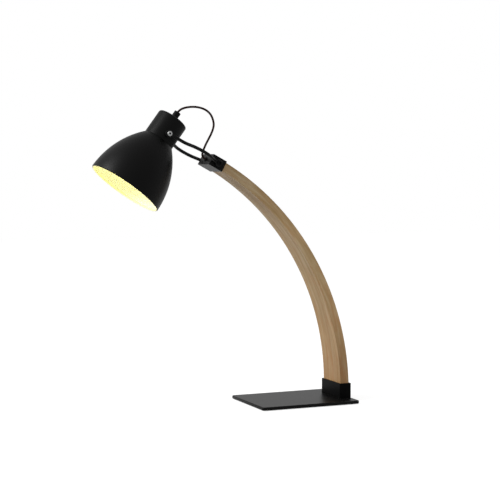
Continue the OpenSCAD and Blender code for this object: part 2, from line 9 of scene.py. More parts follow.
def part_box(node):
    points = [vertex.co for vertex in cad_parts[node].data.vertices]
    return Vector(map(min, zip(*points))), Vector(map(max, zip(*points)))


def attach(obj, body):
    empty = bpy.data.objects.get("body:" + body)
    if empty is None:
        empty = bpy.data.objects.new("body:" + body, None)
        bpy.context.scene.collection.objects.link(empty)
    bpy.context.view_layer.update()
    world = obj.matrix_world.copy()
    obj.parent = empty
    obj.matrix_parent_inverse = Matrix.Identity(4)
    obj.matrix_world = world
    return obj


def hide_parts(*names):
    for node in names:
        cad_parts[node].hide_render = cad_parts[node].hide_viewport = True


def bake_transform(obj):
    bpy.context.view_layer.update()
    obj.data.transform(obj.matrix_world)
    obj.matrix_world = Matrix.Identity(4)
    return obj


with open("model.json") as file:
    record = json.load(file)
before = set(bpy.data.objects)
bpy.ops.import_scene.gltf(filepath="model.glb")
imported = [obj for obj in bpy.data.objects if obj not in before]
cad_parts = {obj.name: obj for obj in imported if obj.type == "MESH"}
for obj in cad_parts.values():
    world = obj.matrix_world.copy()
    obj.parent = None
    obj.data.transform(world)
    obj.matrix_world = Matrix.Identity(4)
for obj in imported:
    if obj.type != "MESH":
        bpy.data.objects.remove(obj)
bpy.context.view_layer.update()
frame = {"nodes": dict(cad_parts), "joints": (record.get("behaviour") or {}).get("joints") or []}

MM = 0.001
TURN = 2 * math.pi


# Sizes of the lamp: lengths in millimetres, angles in degrees
ARM_RADIUS = 540
ARM_THICK = 19
ARM_RISE = 16.8
PLATE_CORNER = 6
PLATE_EDGE = 2
FLAT_BORDER = 0.5
PAD_EDGE = 0.5
CAP_LENGTH = 32
CAP_ANGLE = 61.477
BUSH_FLANGE = 1.5
BOW_LENGTH = 122.5
BOW_PITCH = 28.6
BOW_BULGE = 22
BOW_BEND = 46
BOW_CROWN_R = 34
BOW_NECK_R = 20
BOW_HEEL_R = 8
ROD_D = 6.8
ROD_SQUARENESS = 2
EYE_D = 15
EYE_T = 7
EYE_SQUARENESS = 5
EYE_CLEARANCE = 0.9
HEAD_TILT = 36.6
CUP_D = 65
CUP_H = 53.5
CUP_SEAT = 0.05
PIVOT_DROP = 37.5
SHADE_D = 158
SHADE_H = 121
SHADE_WALL = 1.2
SHADE_HOLE_D = 39.6
RIM_BEAD_R = 2
BEAD_TURN = 240
BARE_FROM = 75
NECK_ROUND = 0.2
GRIP_H = 17
CORD_D = 4.4
BULB_D = 45
BULB_LENGTH = 75
BULB_NECK_D = 27.8
BULB_FLARE_R = 6
BULB_SCREW_H = 26
BULB_DROP = 10
KEY_R = 1.9
LEAST_CORNER_R = 0.2

# The bulb's light: its power in watts, its colour, and the size of its source as a share of the globe
BULB_POWER = 0.15
BULB_LIGHT = "#fffb8f"
FILAMENT_SHARE = 0.15

# How finely round forms are drawn, and the angle in degrees above which an edge stays sharp
ROD_SIDES = 32
BEND_RINGS = 24
EYE_RINGS = 18
SHADE_SIDES = 192
SHADE_STEPS = 72
NECK_STEPS = 4
BEAD_STEPS = 24
BULB_SIDES = 96
BULB_STEPS = 40
FLARE_STEPS = 10
SHARP_ANGLE = 38

# Levels of the frame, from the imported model
joint_place = {joint["name"]: Vector(joint["pos_m"]) / MM for joint in frame["joints"]}
cap_pivot = joint_place["bow_tilt"]
head_pivot = joint_place["head_tilt"]
pad_low, pad_high = (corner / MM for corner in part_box("base_pad"))
plate_low, plate_high = (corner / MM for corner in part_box("base_plate"))
plate_top = plate_high.z
arm_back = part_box("arm")[1].x / MM
cap_half_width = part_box("arm_cap")[1].y / MM

arc_x = arm_back - ARM_RADIUS - ARM_THICK
arc_z = plate_top + ARM_RISE
arm_mid_r = ARM_RADIUS + ARM_THICK / 2
cap_eye_y = cap_half_width + EYE_CLEARANCE + EYE_T / 2
cup_eye_y = CUP_D / 2 + CUP_SEAT + EYE_CLEARANCE + EYE_T / 2
cap_out = Vector((-math.sin(math.radians(CAP_ANGLE)), 0, math.cos(math.radians(CAP_ANGLE))))
head_up = Vector((math.sin(math.radians(HEAD_TILT)), 0, math.cos(math.radians(HEAD_TILT))))
neck_z = PIVOT_DROP - CUP_H
rim_z = neck_z - SHADE_H
grip_top = PIVOT_DROP + GRIP_H


def frame_at(place, angle):
    """A frame in metres at a place given in millimetres, turned about +Y by an angle in degrees."""
    return Matrix.Translation(place * MM) @ Matrix.Rotation(math.radians(angle), 4, "Y")


at_bow = frame_at(cap_pivot, 180 + BOW_PITCH)
at_head = frame_at(head_pivot, HEAD_TILT)


# Camera at the photograph's viewpoint, in millimetres and degrees
CAMERA_PLACE = Vector((-1259.9, -2678.1, 512.7))
CAMERA_YAW = 23.34
CAMERA_DROP = 3.65
CAMERA_LENS = 100.8
CAMERA_SENSOR = 36
CAMERA_REACH = 50000

camera = bpy.data.objects.new("camera", bpy.data.cameras.new("camera"))
camera.data.lens = CAMERA_LENS
camera.data.sensor_width = CAMERA_SENSOR
camera.data.clip_end = CAMERA_REACH * MM
camera.location = CAMERA_PLACE * MM
camera.rotation_euler = (math.radians(90 - CAMERA_DROP), 0, math.radians(-CAMERA_YAW))
bpy.context.scene.collection.objects.link(camera)
bpy.context.scene.camera = camera


def linear(hex_colour):
    """A colour written as sRGB hex, as the linear RGBA that a socket takes."""
    channels = [int(hex_colour[i:i + 2], 16) / 255 for i in (1, 3, 5)]
    return [c / 12.92 if c <= 0.04045 else ((c + 0.055) / 1.055) ** 2.4 for c in channels] + [1]


def add(tree, kind, inputs, **settings):
    """Adds a node with its settings; an input is a value, or another node's output that is linked to it."""
    node = tree.nodes.new(kind)
    for name, value in settings.items():
        setattr(node, name, value)
    for socket, value in inputs.items():
        if isinstance(value, bpy.types.NodeSocket):
            tree.links.new(value, node.inputs[socket])
        else:
            node.inputs[socket].default_value = value
    return node


def per_mm(size):
    """The scale of a pattern that is laid out in metres, for a real size in millimetres."""
    return 1 / (size * MM)


def new_finish(name, **constants):
    """A material with its constant sockets set on the shader, its tree and its shader."""
    material = bpy.data.materials.new(name)
    material.use_nodes = True
    tree = material.node_tree
    shader = tree.nodes["Principled BSDF"]
    for socket, value in constants.items():
        shader.inputs[socket.replace("_", " ")].default_value = value
    return material, tree, shader


def powder_coat(name, gloss):
    """Black polyester powder coat on steel: the baked powder flows into a fine, dull orange peel."""
    grain_mm = 0.9
    drift_mm = 25
    relief_mm = 0.05
    material, tree, shader = new_finish(name, IOR=1.5, Specular_IOR_Level=gloss)
    place = add(tree, "ShaderNodeTexCoord", {}).outputs["Object"]
    peel = add(tree, "ShaderNodeTexNoise", {"Vector": place, "Scale": per_mm(grain_mm), "Detail": 3})
    drift = add(tree, "ShaderNodeTexNoise", {"Vector": place, "Scale": per_mm(drift_mm), "Detail": 4})
    colour = add(tree, "ShaderNodeValToRGB", {"Fac": drift.outputs["Fac"]})
    colour.color_ramp.elements[0].color = linear("#050505")
    colour.color_ramp.elements[1].color = linear("#0a0a0a")
    rough = add(tree, "ShaderNodeMapRange", {"Value": peel.outputs["Fac"], "To Min": 0.32, "To Max": 0.44})
    bump = add(tree, "ShaderNodeBump", {"Height": peel.outputs["Fac"], "Strength": 0.25,
                                        "Distance": relief_mm * MM})
    tree.links.new(colour.outputs["Color"], shader.inputs["Base Color"])
    tree.links.new(rough.outputs["Result"], shader.inputs["Roughness"])
    tree.links.new(bump.outputs["Normal"], shader.inputs["Normal"])
    return material


def shade_lacquer():
    """Matt black lacquer on spun aluminium: faint rings of the spinning tool show through a dry spray."""
    ring_mm = 1.6
    spray_mm = 0.5
    relief_mm = 0.03
    material, tree, shader = new_finish("matt_black_lacquer", IOR=1.5, Specular_IOR_Level=0.068)
    place = add(tree, "ShaderNodeTexCoord", {}).outputs["Object"]
    spray = add(tree, "ShaderNodeTexNoise", {"Vector": place, "Scale": per_mm(spray_mm), "Detail": 2})
    axis = add(tree, "ShaderNodeSeparateXYZ", {"Vector": place})
    rings = add(tree, "ShaderNodeTexNoise", {"W": axis.outputs["Z"], "Scale": per_mm(ring_mm), "Detail": 2},
                noise_dimensions="1D")
    both = add(tree, "ShaderNodeMath", {0: spray.outputs["Fac"], 1: rings.outputs["Fac"]}, operation="ADD")
    colour = add(tree, "ShaderNodeValToRGB", {"Fac": spray.outputs["Fac"]})
    colour.color_ramp.elements[0].color = linear("#030303")
    colour.color_ramp.elements[1].color = linear("#060606")
    rough = add(tree, "ShaderNodeMapRange", {"Value": rings.outputs["Fac"], "To Min": 0.4, "To Max": 0.48})
    bump = add(tree, "ShaderNodeBump", {"Height": both.outputs["Value"], "Strength": 0.12,
                                        "Distance": relief_mm * MM})
    tree.links.new(colour.outputs["Color"], shader.inputs["Base Color"])
    tree.links.new(rough.outputs["Result"], shader.inputs["Roughness"])
    tree.links.new(bump.outputs["Normal"], shader.inputs["Normal"])
    return material


def white_lacquer():
    """White lacquer inside the shade: a smooth satin spray that throws the light out evenly."""
    spray_mm = 18
    material, tree, shader = new_finish("white_lacquer", IOR=1.5, Specular_IOR_Level=0.4)
    place = add(tree, "ShaderNodeTexCoord", {}).outputs["Object"]
    spray = add(tree, "ShaderNodeTexNoise", {"Vector": place, "Scale": per_mm(spray_mm), "Detail": 2})
    colour = add(tree, "ShaderNodeValToRGB", {"Fac": spray.outputs["Fac"]})
    colour.color_ramp.elements[0].color = linear("#e4e1d8")
    colour.color_ramp.elements[1].color = linear("#ebe8df")
    rough = add(tree, "ShaderNodeMapRange", {"Value": spray.outputs["Fac"], "To Min": 0.35, "To Max": 0.5})
    tree.links.new(colour.outputs["Color"], shader.inputs["Base Color"])
    tree.links.new(rough.outputs["Result"], shader.inputs["Roughness"])
    return material


def oiled_oak():
    """Oiled oak, bent along its grain: long pale and brown streaks and short dark pores follow the bend.

    The pores are drawn wider than real ones, so that they show. Both ends are darkened as painted shade.
    """
    streak_mm = (110, 9, 9)
    patch_mm = (55, 10, 10)
    pore_mm = (14, 0.55, 0.55)
    drift_mm = (220, 40, 40)
    foot_mm = 230
    tip_mm = (330, 560)
    relief_mm = 0.12
    material, tree, shader = new_finish("oiled_oak", IOR=1.5, Specular_IOR_Level=0.2)
    place = add(tree, "ShaderNodeTexCoord", {}).outputs["Object"]
    from_middle = add(tree, "ShaderNodeVectorMath", {0: place, 1: Vector((arc_x, 0, arc_z)) * MM},
                      operation="SUBTRACT")
    axes = add(tree, "ShaderNodeSeparateXYZ", {"Vector": from_middle.outputs["Vector"]})
    turn = add(tree, "ShaderNodeMath", {0: axes.outputs["Z"], 1: axes.outputs["X"]}, operation="ARCTAN2")
    along = add(tree, "ShaderNodeMath", {0: turn.outputs["Value"], 1: arm_mid_r * MM}, operation="MULTIPLY")
    flat = add(tree, "ShaderNodeCombineXYZ", {"X": axes.outputs["X"], "Z": axes.outputs["Z"]})
    depth = add(tree, "ShaderNodeVectorMath", {0: flat.outputs["Vector"]}, operation="LENGTH")
    grain = add(tree, "ShaderNodeCombineXYZ", {"X": along.outputs["Value"], "Y": axes.outputs["Y"],
                                               "Z": depth.outputs["Value"]}).outputs["Vector"]

    def laid(size):
        scale = [per_mm(s) for s in size]
        return add(tree, "ShaderNodeVectorMath", {0: grain, 1: scale}, operation="MULTIPLY").outputs["Vector"]

    streaks = add(tree, "ShaderNodeTexNoise", {"Vector": laid(streak_mm), "Scale": 1, "Detail": 3,
                                               "Roughness": 0.5, "Distortion": 0.6})
    patches = add(tree, "ShaderNodeTexNoise", {"Vector": laid(patch_mm), "Scale": 1, "Detail": 3,
                                               "Roughness": 0.6})
    pores = add(tree, "ShaderNodeTexNoise", {"Vector": laid(pore_mm), "Scale": 1, "Detail": 3})
    drift = add(tree, "ShaderNodeTexNoise", {"Vector": laid(drift_mm), "Scale": 1, "Detail": 2})
    wood = add(tree, "ShaderNodeValToRGB", {"Fac": streaks.outputs["Fac"]})
    wood.color_ramp.elements[0].position = 0.28
    wood.color_ramp.elements[0].color = linear("#9f8056")
    wood.color_ramp.elements[1].position = 0.72
    wood.color_ramp.elements[1].color = linear("#c2ac88")
    middle = wood.color_ramp.elements.new(0.5)
    middle.color = linear("#b1956c")
    pore_mask = add(tree, "ShaderNodeMapRange", {"Value": pores.outputs["Fac"], "From Min": 0.56,
                                                 "From Max": 0.72, "To Max": 0.4})
    warm_mask = add(tree, "ShaderNodeMapRange", {"Value": patches.outputs["Fac"], "From Min": 0.5,
                                                 "From Max": 0.7, "To Max": 0.6})
    warm_foot = add(tree, "ShaderNodeMapRange", {"Value": along.outputs["Value"], "From Max": foot_mm * MM,
                                                 "To Min": 0.45, "To Max": 0})
    warmth = add(tree, "ShaderNodeMath", {0: warm_mask.outputs["Result"], 1: warm_foot.outputs["Result"]},
                 operation="ADD", use_clamp=True)
    warmed = add(tree, "ShaderNodeMix", {"Factor": warmth.outputs["Value"], "A": wood.outputs["Color"],
                                         "B": linear("#ab7a4e")}, data_type="RGBA")
    pored = add(tree, "ShaderNodeMix", {"Factor": pore_mask.outputs["Result"], "A": warmed.outputs["Result"],
                                        "B": linear("#86684a")}, data_type="RGBA")
    tone = add(tree, "ShaderNodeMapRange", {"Value": drift.outputs["Fac"], "From Min": 0.3, "From Max": 0.7,
                                            "To Min": 0.92, "To Max": 1.08})
    # The wood is darkened towards the foot and towards the tip: painted shade.
    foot = add(tree, "ShaderNodeMapRange", {"Value": along.outputs["Value"], "From Max": foot_mm * MM,
                                            "To Min": 0.84, "To Max": 1.07}, interpolation_type="SMOOTHSTEP")
    tip = add(tree, "ShaderNodeMapRange", {"Value": along.outputs["Value"], "From Min": tip_mm[0] * MM,
                                           "From Max": tip_mm[1] * MM, "To Min": 1, "To Max": 0.76},
              interpolation_type="SMOOTHSTEP")
    painted_end_shade = add(tree, "ShaderNodeMath", {0: foot.outputs["Result"], 1: tip.outputs["Result"]},
               operation="MULTIPLY")
    value = add(tree, "ShaderNodeMath", {0: tone.outputs["Result"], 1: painted_end_shade.outputs["Value"]},
                operation="MULTIPLY")
    toned = add(tree, "ShaderNodeHueSaturation", {"Value": value.outputs["Value"],
                                                  "Color": pored.outputs["Result"]})
    rough = add(tree, "ShaderNodeMapRange", {"Value": streaks.outputs["Fac"], "To Min": 0.62, "To Max": 0.46})
    relief = add(tree, "ShaderNodeMath", {0: streaks.outputs["Fac"], 1: pore_mask.outputs["Result"]},
                 operation="SUBTRACT")
    bump = add(tree, "ShaderNodeBump", {"Height": relief.outputs["Value"], "Strength": 0.3,
                                        "Distance": relief_mm * MM})
    tree.links.new(toned.outputs["Color"], shader.inputs["Base Color"])
    tree.links.new(rough.outputs["Result"], shader.inputs["Roughness"])
    tree.links.new(bump.outputs["Normal"], shader.inputs["Normal"])
    return material


def braided_viscose():
    """Braided viscose over a round flex: dark red-brown yarns, painted nearly black where they dive as shade.

    The yarns' lay and rise come with the cord's points. The fibres' fuzz is drawn coarser, so that it shows.
    """
    fibres_per_yarn = 9
    fuzz_share = 0.3
    relief_mm = 0.05
    material, tree, shader = new_finish("braided_viscose", IOR=1.46, Specular_IOR_Level=0.15,
                                        Sheen_Weight=0.05, Sheen_Roughness=0.5)
    shader.inputs["Sheen Tint"].default_value = linear("#b06a55")
    lay = add(tree, "ShaderNodeAttribute", {}, attribute_name="lay")
    fuzz = add(tree, "ShaderNodeTexNoise", {"Vector": lay.outputs["Vector"], "Scale": fibres_per_yarn,
                                            "Detail": 2})
    height = add(tree, "ShaderNodeAttribute", {}, attribute_name="rise")
    shade_and_fuzz = add(tree, "ShaderNodeMath", {0: fuzz.outputs["Fac"], 1: fuzz_share, 2: height.outputs["Fac"]},
                 operation="MULTIPLY_ADD")
    # Low points of the braid get the darker colour: painted shade in the braid's creases.
    colour = add(tree, "ShaderNodeValToRGB", {"Fac": shade_and_fuzz.outputs["Value"]})
    colour.color_ramp.elements[0].position = 0.15
    colour.color_ramp.elements[0].color = linear("#180b09")
    colour.color_ramp.elements[1].position = 0.846
    colour.color_ramp.elements[1].color = linear("#22110e")
    rough = add(tree, "ShaderNodeMapRange", {"Value": fuzz.outputs["Fac"], "To Min": 0.55, "To Max": 0.8})
    bump = add(tree, "ShaderNodeBump", {"Height": fuzz.outputs["Fac"], "Strength": 0.4,
                                        "Distance": relief_mm * MM})
    tree.links.new(colour.outputs["Color"], shader.inputs["Base Color"])
    tree.links.new(rough.outputs["Result"], shader.inputs["Roughness"])
    tree.links.new(bump.outputs["Normal"], shader.inputs["Normal"])
    return material


def speckled_finish(name, dark, light, roughness, speck_mm, relief_mm, **constants):
    """A moulded, plated or turned finish: a fine speckle in colour, gloss and relief."""
    material, tree, shader = new_finish(name, **constants)
    place = add(tree, "ShaderNodeTexCoord", {}).outputs["Object"]
    speck = add(tree, "ShaderNodeTexNoise", {"Vector": place, "Scale": per_mm(speck_mm), "Detail": 3})
    colour = add(tree, "ShaderNodeValToRGB", {"Fac": speck.outputs["Fac"]})
    colour.color_ramp.elements[0].position = 0.3
    colour.color_ramp.elements[0].color = linear(dark)
    colour.color_ramp.elements[1].position = 0.7
    colour.color_ramp.elements[1].color = linear(light)
    rough = add(tree, "ShaderNodeMapRange", {"Value": speck.outputs["Fac"], "To Min": roughness[0],
                                             "To Max": roughness[1]})
    bump = add(tree, "ShaderNodeBump", {"Height": speck.outputs["Fac"], "Strength": 0.3,
                                        "Distance": relief_mm * MM})
    tree.links.new(colour.outputs["Color"], shader.inputs["Base Color"])
    tree.links.new(rough.outputs["Result"], shader.inputs["Roughness"])
    tree.links.new(bump.outputs["Normal"], shader.inputs["Normal"])
    return material


def zinc_screw():
    """Zinc plate on the head's screws: a cloudy bright rim round a key socket painted near black as shade."""
    cloud_mm = 1.2
    socket_shade_edge_mm = 0.3
    material, tree, shader = new_finish("zinc_plated_screw", Metallic=1)
    place = add(tree, "ShaderNodeTexCoord", {}).outputs["Object"]
    cloud = add(tree, "ShaderNodeTexNoise", {"Vector": place, "Scale": per_mm(cloud_mm), "Detail": 3})
    plate = add(tree, "ShaderNodeValToRGB", {"Fac": cloud.outputs["Fac"]})
    plate.color_ramp.elements[0].color = linear("#7c7d7c")
    plate.color_ramp.elements[1].color = linear("#a2a3a2")
    from_axis = add(tree, "ShaderNodeVectorMath", {0: place, 1: head_pivot * MM}, operation="SUBTRACT")
    across = add(tree, "ShaderNodeVectorMath", {0: from_axis.outputs["Vector"], 1: (1, 0, 1)},
                 operation="MULTIPLY")
    distance = add(tree, "ShaderNodeVectorMath", {0: across.outputs["Vector"]}, operation="LENGTH")
    # The key socket round the pivot's axis is painted near black: painted shade in the recess.
    painted_socket_shade = add(tree, "ShaderNodeMapRange", {"Value": distance.outputs["Value"], "From Min": KEY_R * MM,
                                              "From Max": (KEY_R + socket_shade_edge_mm) * MM, "To Min": 1,
                                              "To Max": 0})
    colour = add(tree, "ShaderNodeMix", {"Factor": painted_socket_shade.outputs["Result"], "A": plate.outputs["Color"],
                                         "B": linear("#0b0b0b")}, data_type="RGBA")
    rough = add(tree, "ShaderNodeMapRange", {"Value": cloud.outputs["Fac"], "To Min": 0.28, "To Max": 0.42})
    tree.links.new(colour.outputs["Result"], shader.inputs["Base Color"])
    tree.links.new(rough.outputs["Result"], shader.inputs["Roughness"])
    return material


def lit_opal_glass():
    """Opal glass of the lit bulb: the milky wall glows warm, with hardly any clouds in it."""
    glow = 1.4
    milk_mm = 12
    material, tree, shader = new_finish("lit_opal_glass", IOR=1.5, Roughness=0.25)
    shader.inputs["Emission Strength"].default_value = glow
    place = add(tree, "ShaderNodeTexCoord", {}).outputs["Object"]
    milk = add(tree, "ShaderNodeTexNoise", {"Vector": place, "Scale": per_mm(milk_mm), "Detail": 2})
    colour = add(tree, "ShaderNodeValToRGB", {"Fac": milk.outputs["Fac"]})
    colour.color_ramp.elements[0].color = linear("#fff0c0")
    colour.color_ramp.elements[1].color = linear("#fff4cf")
    warm = add(tree, "ShaderNodeValToRGB", {"Fac": milk.outputs["Fac"]})
    warm.color_ramp.elements[0].color = linear("#fffb96")
    warm.color_ramp.elements[1].color = linear("#fffd9e")
    tree.links.new(colour.outputs["Color"], shader.inputs["Base Color"])
    tree.links.new(warm.outputs["Color"], shader.inputs["Emission Color"])
    return material


plate_coat = powder_coat("black_powder_coat", gloss=0.06)
sleeve_coat = powder_coat("dull_black_powder_coat", gloss=0.02)
black_lacquer = shade_lacquer()
inside_lacquer = white_lacquer()
oak = oiled_oak()
viscose = braided_viscose()
opal = lit_opal_glass()
# Round bar with the same coat, drawn smooth before it was bent, so it shines a little more
rod_coat = speckled_finish("black_coated_bar", "#050505", "#0a0a0a", (0.38, 0.5), 0.7, 0.03,
                           IOR=1.5, Specular_IOR_Level=0.08)
# Black oxide on screws: a thin, oiled, almost dull dark skin
black_oxide = speckled_finish("black_oxide_steel", "#060606", "#0c0c0d", (0.4, 0.55), 0.4, 0.02,
                              IOR=1.5, Specular_IOR_Level=0.04)
# Zinc plate on screws, washers and nuts: a bright metal with a soft cloudy gloss
zinc = speckled_finish("zinc_plated_steel", "#9b9c9c", "#b4b5b4", (0.25, 0.38), 1.2, 0.02, Metallic=1)
# Champagne anodised aluminium on the inner half of the rim's bead: pale, bright and soft
bare_aluminium = speckled_finish("anodised_aluminium", "#f6edbe", "#fbf3c8", (0.68, 0.76), 1.0, 0.005,
                                 Metallic=1)
# Nickel plate on the bulb's screw shell
nickel = speckled_finish("nickel_plated_shell", "#b8b6b0", "#cfcdc6", (0.2, 0.32), 1.5, 0.02, Metallic=1)
# Brass spring tongue of the lamp holder
brass = speckled_finish("brass_strip", "#b58d43", "#cda658", (0.25, 0.4), 1.0, 0.02, Metallic=1)
# Phenolic moulding of the lamp holder and the cord grip: hard, smooth and slightly glossy
phenolic = speckled_finish("black_phenolic", "#060606", "#0c0c0c", (0.4, 0.52), 0.8, 0.02,
                           IOR=1.55, Specular_IOR_Level=0.04)
# Rubber of the bushes: dry and dark, with no gloss
rubber = speckled_finish("black_rubber", "#0e0e0e", "#161616", (0.75, 0.9), 0.6, 0.05,
                         IOR=1.5, Specular_IOR_Level=0.12)
# Nylon of the clamp screw: translucent white, waxy
nylon = speckled_finish("natural_nylon", "#dcdbd4", "#eceae3", (0.4, 0.55), 0.8, 0.02, IOR=1.53)
# Closed-cell foam under the base: dull black with open pores
foam = speckled_finish("black_foam", "#161616", "#2b2b2b", (0.85, 0.98), 0.6, 0.2,
                       IOR=1.4, Specular_IOR_Level=0.2)


def piece(name, rings, finishes, body, stands_for, at=None, closed=False, changes=()):
    """A mesh through rings of equal counts, in millimetres of its frame, that stands for a CAD node.

    A closed piece joins its last ring to its first; any other gets a flat face at each end.
    The faces take the next finish from each ring in changes onwards. It rides on a body, where one is given.
    """
    count = len(rings[0])
    verts = [Vector(point) * MM for ring in rings for point in ring]
    faces = []
    marks = []
    for i in range(len(rings) if closed else len(rings) - 1):
        j = (i + 1) % len(rings)
        for k in range(count):
            m = (k + 1) % count
            faces.append((i * count + k, i * count + m, j * count + m, j * count + k))
            marks.append(sum(i >= ring for ring in changes))
    if not closed:
        faces.append(tuple(range(count)))
        faces.append(tuple(range((len(rings) - 1) * count, len(rings) * count)))
        marks += [0, 0]
    mesh = bpy.data.meshes.new(name)
    mesh.from_pydata(verts, [], faces)
    for finish in finishes:
        mesh.materials.append(finish)
    mesh.polygons.foreach_set("material_index", marks)
    shell = bmesh.new()
    shell.from_mesh(mesh)
    bmesh.ops.recalc_face_normals(shell, faces=shell.faces)
    shell.to_mesh(mesh)
    shell.free()
    mesh.shade_smooth()
    mesh.set_sharp_from_angle(angle=math.radians(SHARP_ANGLE))
    made = bpy.data.objects.new(name, mesh)
    bpy.context.scene.collection.objects.link(made)
    if at is not None:
        made.matrix_world = at
    if body is not None:
        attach(made, body)
    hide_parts(stands_for)
    return made


def point_values(made, name, kind, values):
    """Keeps one number or vector for each point of a piece, for its finish to read."""
    attribute = made.data.attributes.new(name, kind, "POINT")
    attribute.data.foreach_set("value" if kind == "FLOAT" else "vector", values)


def arc(centre, r, start, end, steps):
    """Points of an arc in a profile, between two angles in degrees."""
    angles = [math.radians(start + (end - start) * i / steps) for i in range(steps + 1)]
    return [(centre[0] + r * math.cos(a), centre[1] + r * math.sin(a)) for a in angles]


def turned(profile, sides):
    """Rings of a body turned about Z from a profile of (radius, height)."""
    angles = [TURN * k / sides for k in range(sides)]
    return [[(r * math.cos(a), r * math.sin(a), z) for a in angles] for r, z in profile]


def round_rect(x, y, r, z, steps=6):
    """A ring with the outline of a rounded rectangle of that size, at a height."""
    corners = [(x / 2 - r, y / 2 - r, 0), (r - x / 2, y / 2 - r, 90), (r - x / 2, r - y / 2, 180),
               (x / 2 - r, r - y / 2, 270)]
    return [(px, py, z) for cx, cy, start in corners for px, py in arc((cx, cy), r, start, start + 90, steps)]


def rounded_edge(edge, steps=4):
    """Steps of (inset, drop) round an edge, from the side to the top."""
    return [(edge * (1 - math.cos(a)), edge * (1 - math.sin(a)))
            for a in (math.pi / 2 * i / steps for i in range(steps + 1))]


def slab(x, y, r, low, high, edge):
    """Rings of a rounded plate whose upper and lower edges are rounded as well, up to a flat middle."""
    steps = rounded_edge(edge) + [(edge + FLAT_BORDER, 0)]
    levels = [(i, low + d) for i, d in reversed(steps)] + [(i, high - d) for i, d in steps]
    return [round_rect(x - 2 * i, y - 2 * i, max(r - i, LEAST_CORNER_R), z) for i, z in levels]


# The cord's route from the arm's cap to the cord grip, X and Z in millimetres
CORD_LOOP = [(-208.5, 519.5), (-210.5, 523), (-210.5, 527.5), (-208, 535), (-203.5, 545), (-197.5, 556),
             (-191.5, 567), (-187, 578), (-185.5, 588), (-188, 599), (-193, 608), (-201, 615), (-211, 619.5),
             (-224, 622), (-236, 622), (-246.5, 620.5), (-254.5, 618), (-259.5, 615)]
CORD_SEAT = 1
CAP_LEAD = 2
GRIP_LEAD = 2.5
CORD_SPLIT = 14
CORD_STEP = 0.35
CORD_SIDES = 40
BRAID_ENDS = 8
BRAID_RELIEF = 0.06

cap_face = CAP_LENGTH / 2 + BUSH_FLANGE
cord_ends_at_cap = [cap_pivot + (cap_face + d) * cap_out for d in (-CORD_SEAT, CAP_LEAD / 2, CAP_LEAD)]
cord_ends_at_grip = [head_pivot + (grip_top + d) * head_up for d in (GRIP_LEAD, GRIP_LEAD / 2, -CORD_SEAT)]
cord_route = cord_ends_at_cap + [Vector((x, 0, z)) for x, z in CORD_LOOP] + cord_ends_at_grip


def smooth_line(route, first, last, steps=24):
    """Points of a smooth curve through the points first to last of a route."""
    ends = [2 * route[0] - route[1]] + route + [2 * route[-1] - route[-2]]
    line = []
    for i in range(first, last):
        a, b, c, d = ends[i:i + 4]
        for k in range(steps):
            t = k / steps
            line.append((2 * b + (c - a) * t + (2 * a - 5 * b + 4 * c - d) * t ** 2
                         + (3 * b - a - 3 * c + d) * t ** 3) / 2)
    return line + [route[last]]


def evenly(line, step):
    """The same line with its points an even step apart."""
    lengths = [0]
    for a, b in zip(line, line[1:]):
        lengths.append(lengths[-1] + (b - a).length)
    count = max(2, round(lengths[-1] / step))
    even = []
    i = 0
    for k in range(count + 1):
        target = lengths[-1] * k / count
        while i < len(line) - 2 and lengths[i + 1] < target:
            i += 1
        share = (target - lengths[i]) / (lengths[i + 1] - lengths[i])
        even.append(line[i].lerp(line[i + 1], share))
    return even, lengths[-1]


def tube_rings(line, sides, radius, across=Vector((0, 1, 0))):
    """Rings along a line in the plane square to across; radius(i, angle) gives each point's distance."""
    rings = []
    for i, point in enumerate(line):
        way = (line[min(i + 1, len(line) - 1)] - line[max(i - 1, 0)]).normalized()
        out = across.cross(way)
        angles = [TURN * k / sides for k in range(sides)]
        rings.append([point + radius(i, a) * (math.cos(a) * out + math.sin(a) * across) for a in angles])
    return rings


def cord_piece(name, node, first, last, before):
    """One stretch of the braided cord, between the two given points of its route."""
    line, length = evenly(smooth_line(cord_route, first, last), CORD_STEP)
    lead = TURN * CORD_D / 2

    def braid(i, angle):
        along = (before + length * i / (len(line) - 1)) / lead
        turn = angle / TURN
        return BRAID_ENDS * (turn + along), BRAID_ENDS * (turn - along)

    def rise(i, angle):
        right, left = braid(i, angle)
        return 0.5 + 0.5 * math.cos(TURN * right) * math.cos(TURN * left)

    rings = tube_rings(line, CORD_SIDES, lambda i, a: CORD_D / 2 - BRAID_RELIEF * (1 - rise(i, a)))
    made = piece(name, rings, [viscose], None, node)
    angles = [TURN * k / CORD_SIDES for k in range(CORD_SIDES)]
    spots = [(i, a) for i in range(len(line)) for a in angles]
    point_values(made, "rise", "FLOAT", [rise(i, a) for i, a in spots])
    point_values(made, "lay", "FLOAT_VECTOR", [v for i, a in spots for v in (*braid(i, a), 0)])
    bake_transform(made)
    return length


split_point = cord_route[CORD_SPLIT]
above_cap = cord_route[2].copy()
above_cap.x = split_point.x
lower_length = cord_piece("cord_lower_braid", "cord_lower", 0, CORD_SPLIT, 0)
cord_piece("cord_upper_braid", "cord_upper", CORD_SPLIT, len(cord_route) - 1, lower_length)


def dress(names, finish, edge=None):
    """Gives CAD nodes that keep their shape a finish and, where an edge is given, rounds sharp edges."""
    same_point_mm = 0.001
    same_flat_degrees = 0.1
    sharp_degrees = 40
    for name in names:
        node = frame["nodes"][name]
        for material_slot in node.material_slots:
            material_slot.material = finish
        if edge is None:
            continue
        weld = node.modifiers.new("join_points", "WELD")
        weld.merge_threshold = same_point_mm * MM
        flats = node.modifiers.new("join_flats", "DECIMATE")
        flats.decimate_type = "DISSOLVE"
        flats.angle_limit = math.radians(same_flat_degrees)
        bevel = node.modifiers.new("round_edges", "BEVEL")
        bevel.width = edge * MM
        bevel.segments = 3
        bevel.limit_method = "ANGLE"
        bevel.angle_limit = math.radians(sharp_degrees)
        node.modifiers.new("flat_faces", "WEIGHTED_NORMAL")


